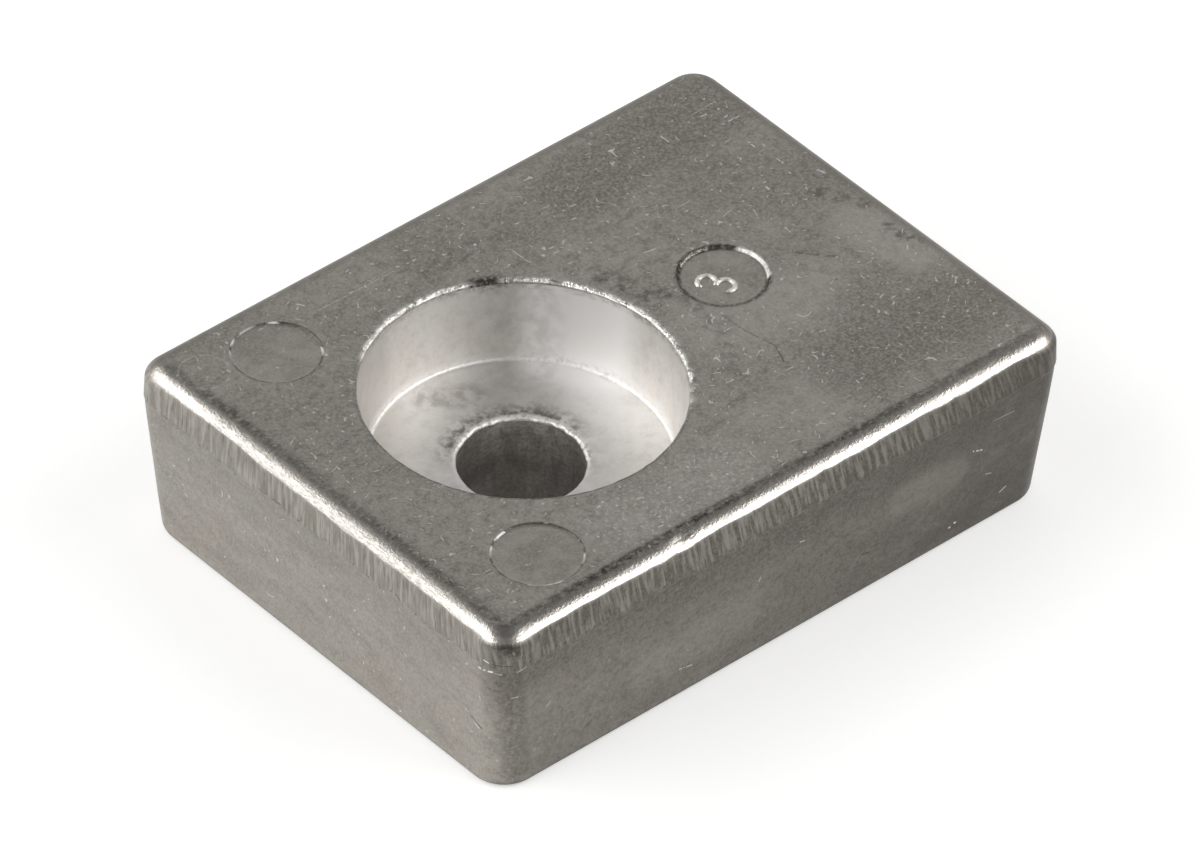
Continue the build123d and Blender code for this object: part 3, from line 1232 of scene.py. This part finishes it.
@dataclass(frozen=True)
class TrimmedSideZinc:
    """The block's sides: sheared in upright streaks above the parting line, smooth and cloudy as cast below it."""

    name: str = "sheared_and_drafted_zinc"
    clean: str = "#9D9992"
    stain: str = "#807C75"
    pale: str = "#BAB6AF"
    warm: str = "#A0958E"
    # Colour of the painted shade on the sides.
    painted_shade: str = "#56534D"
    soot_and_shade: str = "#46423D"
    glint: str = "#E9E7E2"
    parting_line: float = 10.85

    # Placed marks, by the distance round the outline and the height.
    glints: tuple[Mark, ...] = (
        (114.8, 11.35, 115.15, 11.3, 0.12, 1.0), (114.3, 10.38, 115.4, 10.6, 0.2, 1.0),
        (115.6, 10.55, 116.0, 10.5, 0.14, 0.4), (117.0, 10.6, 117.7, 10.75, 0.14, 0.4),
        (116.6, 8.35, 117.0, 8.35, 0.16, 0.4), (114.3, 5.15, 114.7, 4.95, 0.16, 0.7),
        (155.55, 1.7, 155.65, 1.65, 0.22, 0.9), (155.1, 1.5, 155.2, 1.5, 0.2, 0.8),
        (159.6, 2.15, 160.1, 2.4, 0.16, 0.6), (157.8, 4.6, 158.4, 4.4, 0.14, 0.4),
        (130.8, 2.55, 131.9, 2.3, 0.12, 0.7), (137.3, 6.3, 137.6, 6.8, 0.12, 0.5),
        (140.9, 8.05, 141.6, 7.9, 0.12, 0.6), (157.4, 9.2, 159.4, 9.0, 0.1, 0.3),
        (156.1, 7.4, 156.9, 7.1, 0.16, 0.9), (94.35, 5.9, 94.4, 5.85, 0.26, 1.0),
        (99.3, 5.7, 99.35, 5.65, 0.22, 1.0), (99.1, 6.8, 99.2, 6.8, 0.2, 0.9),
        (162.6, 10.8, 163.3, 10.95, 0.34, 1.0),
    )
    # Dark nicks, with painted shade among them: the broad dark spot under the highlights at the near corner and the
    # dark strip down that corner.
    nicks: tuple[Mark, ...] = (
        (115.4, 11.3, 116.7, 11.25, 0.14, 0.8), (115.1, 9.05, 116.0, 8.95, 0.16, 0.6),
        (116.2, 12.7, 116.8, 12.35, 1.1, 1.0), (113.8, 5.6, 114.9, 5.1, 0.18, 0.9),
        (122.5, 2.15, 123.3, 2.65, 0.2, 0.7), (152.4, 1.3, 157.4, 1.7, 2.4, 0.3),
        (157.6, 3.2, 161.5, 3.4, 2.8, 0.25), (146.8, 3.7, 147.5, 3.5, 0.16, 0.9),
        (116.9, 1.5, 116.7, 10.2, 2.2, 0.35), (118.6, 12.2, 123.5, 12.2, 2.4, 0.2),
    )
    clouds: tuple[Mark, ...] = (
        (150.0, 6.6, 154.5, 6.3, 4.0, 0.12), (128.0, 4.3, 136.0, 4.3, 5.0, 0.12),
    )

    def material(self) -> bpy.types.Material:
        """Builds the material."""
        skin = Skin(self.name, self.clean, 0.4)
        put, both, lay = skin.put, skin.both, skin.lay
        lay(skin.patches(5.5, 0.45, 0.65, 2.0), self.warm, 0.45)
        lay(skin.patches((3.4, 3.4, 1.4), 0.4, 0.7, 3.0), self.stain, 0.45, 0.03)
        mottle = skin.patches(0.55, 0.42, 0.7, 2.0)
        lay(mottle, self.stain, 0.3)
        grain = skin.patches(0.2, 0.3, 0.75, 1.0)
        lay(grain, self.pale, 0.4, 0.0, 4.0)
        lay(both(skin.threads(1.2, 0.024), skin.patches(0.6, 0.71, 0.76, 0.0)), self.glint, 0.6)
        lay(skin.specks(2.2, 0.09, 0.25), self.glint, 0.6)
        lay(skin.specks(1.0, 0.1, 0.3), self.soot_and_shade, 0.4, 0.05)
        x, y, z = add_node(skin.tree, "SeparateXYZ", {0: skin.place}).outputs
        rise, band, streaks = self.shear(skin, z)

        # Dark nicks where the flash broke off along the parting line, painted shade under it and a painted dark line
        # of shade at the foot.
        flash = skin.close_to(rise, 0.0, 0.1, 0.03)
        lay(both(flash, skin.patches(0.6, 0.54, 0.64, 1.0)), self.soot_and_shade, 0.6, 0.1)
        limits = {"Value": rise, "From Min": -4.0, "From Max": -0.9}
        under = put("MapRange", limits, interpolation_type="SMOOTHSTEP")
        lay(under, self.painted_shade, 0.16)
        foot = put("MapRange", {"Value": z, "From Min": 0.6, "From Max": 0.15})
        lay(foot, self.painted_shade, 0.5)

        # Painted shade: the long side in front is darker, and more so towards its far end.
        front = put("MapRange", {"Value": y, "From Min": -15.7, "From Max": -17.2})
        far = put("MapRange", {"Value": x, "From Min": -24.0, "From Max": 24.0, "To Min": 0.5, "To Max": 1.0})
        lay(both(front, far, skin.patches((3.5, 3.5, 2.6), -0.5, 0.6, 3.0)), self.painted_shade)
        lay(both(front, band), self.painted_shade, 0.4)
        lay(both(front, under), self.soot_and_shade, 0.4)
        lay(both(front, mottle), self.soot_and_shade, 0.26)
        # Painted light: the front's band streaks and grain are lighter towards its near end.
        lit = put("MapRange", {"Value": x, "From Min": 2.0, "From Max": 24.0, "To Min": 1.0, "To Max": 0.3})
        lay(both(front, lit, band, streaks), "#A39F98", 0.45)
        lay(both(front, lit, grain), "#918D86", 0.28)
        lay(both(front, foot), self.soot_and_shade, 0.6)

        broken = skin.patches(0.3, 0.34, 0.5, 2.0)
        lay(skin.marks(self.clouds, skin.down), self.pale)
        lay(both(skin.marks(self.nicks, skin.down), broken), self.soot_and_shade, 0.85)
        lay(both(skin.marks(self.glints, skin.down), broken), self.glint, 0.85)
        # Painted sheen in a paler colour along the top of the band, under the rolled edge's highlight.
        lay(skin.carried("polish_and_sheen"), self.pale, 0.5, -0.05)
        return skin.close()

    def shear(self, skin: Skin, z: Socket) -> tuple[Socket, Socket, Socket]:
        """Lays the shear marks: streaks a third of a millimetre wide and as tall as the band, with ragged ends.

        Args:
            skin: The side's surface so far.
            z: Height in millimetres.

        Returns:
            The height over the ragged ends, the band, and the streaks.
        """
        ends = skin.patches((0.5, 20.0, 1.0), 0.3, 0.7, 1.0, skin.down)
        start = skin.put("Math", {0: ends, 1: -0.5, 2: self.parting_line + 0.2}, operation="MULTIPLY_ADD")
        rise = skin.put("Math", {0: z, 1: start}, operation="SUBTRACT")
        band = skin.put("MapRange", {"Value": rise, "From Min": -0.06, "From Max": 0.12})
        skin.lay(band, "#88847C", 0.6, 0.02)
        streaks = skin.patches((0.3, 2.6, 1.0), 0.4, 0.66, 2.0, skin.down, -9.0)
        skin.lay(skin.both(band, streaks), self.pale, 0.65, 0.0, 9.0)
        scores = skin.patches((0.2, 1.8, 1.0), 0.52, 0.7, 2.0, skin.down, -5.0)
        skin.lay(skin.both(band, scores), self.soot_and_shade, 0.38, 0.05, -7.0)
        return rise, band, streaks


@dataclass(frozen=True)
class CorePinSatinZinc:
    """Recess drawn off a polished core pin: a bright even satin with faint clouds and a few pits."""

    name: str = "core_pin_satin_zinc"
    clean: str = "#E5E3E0"
    warm: str = "#DDD8D4"

    def material(self) -> bpy.types.Material:
        """Builds the material."""
        skin = Skin(self.name, self.clean, 0.52)
        skin.lay(skin.patches(4.0, 0.4, 0.65, 2.0), self.warm, 0.7)
        skin.lay(skin.patches(0.8, 0.45, 0.75, 3.0), "#C4C0BB", 0.35, 0.02)
        skin.lay(skin.patches(0.25, 0.35, 0.75, 1.0), "#EFEDEA", 0.3, 0.0, 1.5)
        skin.lay(skin.specks(2.4, 0.09, 0.25), "#6B665F", 0.7, 0.1, -8.0)
        skin.lay(skin.specks(1.7, 0.07, 0.3), "#F5F3F0", 0.6)
        # Painted light on the far right of the recess and on the floor beyond the mouth towards +X, and painted shade
        # on its left wall.
        skin.lay(skin.line((2.9, 3.4), (1.6, 6.2), 7.0), "#FCFBFA", 1.0, 0.14)
        skin.lay(skin.line((0.9, -1.0), (0.6, 1.2), 5.0), "#F9F7F5", 0.35)
        skin.lay(skin.line((-11.2, 9.3), (-15.6, 5.2), 6.0), "#C0BBB5", 0.42)
        skin.lay(skin.line((-15.6, 5.2), (-16.9, -2.0), 7.0), "#CDC8C3", 0.6)
        # Its far middle is mottled.
        wisps = skin.patches(0.9, 0.38, 0.66, 4.0)
        skin.lay(skin.both(skin.line((-3.4, 4.8), (0.2, 8.2), 8.0), wisps), "#A8A39D", 0.2)
        skin.lay(skin.both(skin.line((-7.4, 8.4), (-5.0, 6.9), 3.0), wisps), "#98938D", 0.45)
        # Soil round the mouth and in the burr's gap, and painted shadow just under the rim's burr.
        scuffed = skin.carried("grime_and_shade")
        skin.lay(skin.both(scuffed, skin.patches(1.5, 0.3, 0.62, 3.0)), "#9A958F", 0.6)
        skin.lay(skin.both(scuffed, skin.patches((0.5, 0.5, 0.3), 0.42, 0.6, 4.0)), "#67625B", 0.8, 0.0, -8.0)
        # The corner round its floor and the mouth of the bolt hole shine in beads, laid on as painted highlight over
        # polished and torn metal.
        corner = skin.carried("polish_and_sheen")
        skin.lay(corner, "#FAF9F7", 0.5, -0.02)
        skin.lay(skin.both(corner, skin.patches(0.25, 0.46, 0.62, 2.0)), "#A5A09A", 0.2, 0.03)
        torn = skin.carried("burr")
        skin.lay(torn, "#F6F4F1", 0.95, 0.1, 6.0)
        skin.lay(skin.both(torn, skin.patches(0.35, 0.46, 0.62, 3.0)), "#8C8780", 0.6, 0.06, -8.0)
        return skin.close()


@dataclass(frozen=True)
class BoreZinc:
    """Wall of the bolt hole: matte and dark, with faint marks round it from the core pin; deeper down it is darkened
    further with painted shade.
    """

    name: str = "bore_zinc"
    clean: str = "#CAC5BE"
    stain: str = "#6E6963"

    def material(self) -> bpy.types.Material:
        """Builds the material."""
        skin = Skin(self.name, self.clean, 0.5)
        skin.lay(skin.patches((1.0, 1.0, 2.4), 0.4, 0.65, 3.0), self.stain, 0.4, 0.05, -3.0)
        skin.lay(skin.patches((1.5, 1.5, 0.2), 0.5, 0.72, 1.0), self.stain, 0.25)
        skin.lay(skin.patches(0.22, 0.35, 0.75, 1.0), self.stain, 0.5, 0.0, 5.0)
        height = skin.put("SeparateXYZ", {0: skin.place}, 2)
        # Painted shade: darker deeper down the hole.
        shade_deeper_down = skin.put("MapRange", {"Value": height, "From Min": 7.2, "From Max": 3.6})
        skin.lay(shade_deeper_down, "#4E4A45", 0.75)
        return skin.close()


@dataclass(frozen=True)
class EjectorPrintZinc(CastShades):
    """Print of an ejector pin: the same mottled zinc, flattened by the pin's ground end."""

    name: str = "ejector_print_zinc"
    clean: str = "#B2AEA6"

    def material(self) -> bpy.types.Material:
        """Builds the material."""
        skin = Skin(self.name, self.clean, 0.36)
        skin.lay(skin.patches(2.5, 0.4, 0.65, 3.0), self.stain, 0.45, 0.03)
        skin.lay(skin.patches(0.8, 0.42, 0.7, 3.0), self.stain, 0.45)
        skin.lay(skin.patches(0.2, 0.3, 0.75, 1.0), self.pale, 0.4, 0.0, 5.0)
        short = skin.patches(0.45, 0.58, 0.64, 1.0)
        skin.lay(skin.both(skin.threads(1.0, 0.018), short), self.bright, 0.6, 0.0, -6.0)
        skin.lay(skin.specks(1.2, 0.09, 0.25), self.bright, 0.5, 0.0, 7.0)
        skin.lay(skin.both(skin.carried("grime_and_shade"), skin.patches(0.3, 0.2, 0.6, 2.0)), self.soot_and_shade, 0.9, 0.06)
        # Torn ring metal with painted highlight on it, and the raised number painted as highlight.
        torn = skin.carried("burr")
        skin.lay(torn, "#F3F1ED", 0.95, 0.25, 10.0)
        skin.lay(skin.both(torn, skin.patches(0.4, 0.5, 0.62, 2.0)), "#8F8B84", 0.6)
        return skin.close()


FINISHES = (AsCastZinc(), TrimmedSideZinc(), CorePinSatinZinc(), BoreZinc(), EjectorPrintZinc())


# ---------------------------------------------------------------- studio


@dataclass(frozen=True)
class Softbox:
    """Rectangular soft light that faces the object.

    Attributes:
        name: Name of the lamp.
        azimuth: Where it stands, counter-clockwise from +X, in degrees.
        elevation: Height above the floor in degrees.
        width: Angle that it spans sideways.
        height: Angle that it spans upwards.
        radiance: Brightness of its face, where 1 is white.
        distance: Distance from the object in metres.
    """

    name: str
    azimuth: float
    elevation: float
    width: float
    height: float
    radiance: float
    distance: float = 0.8

    def build(self) -> None:
        """Makes the lamp. A lamp's power is its brightness times pi times its area."""
        wide, high = (2.0 * self.distance * math.tan(math.radians(span / 2)) for span in (self.width, self.height))
        lamp = bpy.data.lights.new(self.name, "AREA")
        lamp.shape, lamp.size, lamp.size_y = "RECTANGLE", wide, high
        lamp.energy = self.radiance * math.pi * wide * high
        place = bpy.data.objects.new(self.name, lamp)
        way = Vector(towards(self.azimuth, self.elevation))
        turn = way.to_track_quat("Z", "Y").to_matrix().to_4x4()
        place.matrix_world = Matrix.Translation(way * self.distance) @ turn
        place.visible_camera = False
        bpy.context.scene.collection.objects.link(place)


@dataclass(frozen=True)
class StudioCard:
    """Curved plain card round the object, which the metal reflects.

    Attributes:
        name: Name of the card.
        azimuths: First and last azimuth in degrees.
        elevations: First and last elevation.
        radiance: Brightness of the card.
        radius: Distance from the object in metres.
    """

    name: str
    azimuths: tuple[float, float]
    elevations: tuple[float, float]
    radiance: float
    radius: float = 0.95

    def build(self) -> bpy.types.Object:
        """Makes the card: a piece of a sphere, the radius times the directions of even azimuths and elevations."""
        across, up = np.meshgrid(np.linspace(*self.azimuths, 33), np.linspace(*self.elevations, 13), indexing="ij")
        index = np.arange(across.size).reshape(across.shape)
        faces = np.stack([index[:-1, :-1], index[1:, :-1], index[1:, 1:], index[:-1, 1:]], axis=-1).reshape(-1, 4)
        card = add_piece(self.name, (self.radius * towards(across, up)).reshape(-1, 3), faces.tolist())
        card.visible_camera = False
        material = bpy.data.materials.new(self.name)
        tree = new_tree(material)
        glow = add_node(tree, "Emission", {"Strength": self.radiance})
        add_node(tree, "OutputMaterial", {"Surface": glow.outputs[0]})
        card.data.materials.append(material)
        return card


@dataclass
class Studio:
    """Pale floor, three softboxes, plain cards and a white surround."""

    floor_albedo: str = "#F0F0EE"
    floor_glow: float = 0.42
    floor_reach: float = 4.0
    floor_drop: float = 0.00001
    surround: float = 0.5
    softboxes: tuple[Softbox, ...] = (
        Softbox("back_left_softbox", 139.0, 37.5, 64.0, 20.0, 3.85),
        Softbox("left_softbox", 180.0, 33.0, 18.0, 22.0, 2.0),
        Softbox("front_right_softbox", -47.0, 39.5, 56.0, 22.0, 3.5),
    )
    cards: tuple[StudioCard, ...] = (
        StudioCard("back_card", (14.0, 76.0), (0.0, 51.0), 0.55),
        StudioCard("left_gap_card", (76.0, 107.0), (0.0, 51.0), 0.2),
        StudioCard("right_gap_card", (-17.0, 14.0), (0.0, 51.0), 0.2),
        StudioCard("low_roof_card", (0.0, 360.0), (51.0, 60.0), 0.3),
        StudioCard("roof_card", (0.0, 360.0), (60.0, 89.0), 0.14),
        StudioCard("near_card", (168.0, 280.0), (3.0, 51.0), 0.28),
    )

    def seen_rays(self, tree: bpy.types.NodeTree) -> Socket:
        """1 for camera, glossy and transmission rays, 0 for the rays that only carry light."""
        path = add_node(tree, "LightPath").outputs
        glossy = add_node(tree, "Math", {0: path["Is Camera Ray"], 1: path["Is Glossy Ray"]}, operation="MAXIMUM")
        both = add_node(tree, "Math", {0: glossy.outputs[0], 1: path["Is Transmission Ray"]}, operation="MAXIMUM")
        return both.outputs[0]

    def build_floor(self) -> bpy.types.Object:
        """Makes the floor: a wide square sheet just under the foot. It keeps the object's shadow."""
        side = np.array([-self.floor_reach, self.floor_reach])
        x, y = np.meshgrid(side, side, indexing="ij")
        points = np.column_stack([x.ravel(), y.ravel(), np.full(x.size, -self.floor_drop)])
        floor = add_piece("floor", points, [[0, 2, 3, 1]])
        material = bpy.data.materials.new("pale_floor")
        tree = new_tree(material)
        paper = add_node(tree, "BsdfDiffuse", {"Color": linear_colour(self.floor_albedo)})
        lift = add_node(tree, "Math", {0: self.seen_rays(tree), 1: self.floor_glow}, operation="MULTIPLY")
        glow = add_node(tree, "Emission", {"Strength": lift.outputs[0]})
        both = add_node(tree, "AddShader", {0: paper.outputs[0], 1: glow.outputs[0]})
        add_node(tree, "OutputMaterial", {"Surface": both.outputs[0]})
        floor.data.materials.append(material)
        return floor

    def build_world(self) -> None:
        """Makes the surround: white where it is seen or reflected, and dimmer as a light."""
        world = bpy.data.worlds.new("white_surround")
        tree = new_tree(world)
        level = add_node(tree, "MapRange", {"Value": self.seen_rays(tree), "To Min": self.surround, "To Max": 1.0})
        sky = add_node(tree, "Background", {"Strength": level.outputs["Result"], "Color": (1.0, 1.0, 1.0, 1.0)})
        add_node(tree, "OutputWorld", {"Surface": sky.outputs[0]})
        bpy.context.scene.world = world

    def build(self) -> None:
        """Makes the whole studio and sets plain colour management."""
        bpy.context.scene.view_settings.view_transform = "Standard"
        self.build_world()
        self.build_floor()
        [card.build() for card in self.cards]
        for softbox in self.softboxes:
            softbox.build()
        LOG.info("studio: floor, %d cards, %d softboxes", len(self.cards), len(self.softboxes))


@dataclass(frozen=True)
class PhotoCamera:
    """Camera that stands where the photograph's did, fitted to the block's outline and round features."""

    eye: tuple[float, float, float] = (-457.9222, -503.6455, 590.3143)
    forward: tuple[float, float, float] = (0.5105254, 0.5614597, -0.6512502)
    right: tuple[float, float, float] = (0.7524377, -0.6582850, 0.0223233)
    lens: float = 420.566
    sensor: float = 36.0

    def build(self) -> None:
        """Makes the camera. Its own axes are right, right cross forward, and straight back."""
        data = bpy.data.cameras.new("photo_camera")
        data.sensor_fit, data.sensor_width, data.lens = "HORIZONTAL", self.sensor, self.lens
        data.clip_start, data.clip_end = 0.05, 20.0
        ahead = Vector(self.forward).normalized()
        side = Vector(self.right)
        side = (side - ahead * side.dot(ahead)).normalized()
        up = side.cross(ahead)
        axes = Matrix((side, up, -ahead)).transposed().to_4x4()
        camera = bpy.data.objects.new("photo_camera", data)
        camera.matrix_world = Matrix.Translation(Vector(self.eye) * MM) @ axes
        bpy.context.scene.collection.objects.link(camera)
        bpy.context.scene.camera = camera
        LOG.info("camera: lens %.1f mm", self.lens)


def main() -> None:
    logging.basicConfig(level=logging.INFO, format="%(name)s %(message)s")
    PhotoCamera().build()
    Studio().build()
    casting = AnodeCasting()
    piece = casting.build()
    casting.dress(piece)
    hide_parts("anode_block")
    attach(piece, "root")
    LOG.info("anode_casting: %d points, %d faces", len(piece.data.vertices), len(piece.data.polygons))


if __name__ == "__main__":
    main()
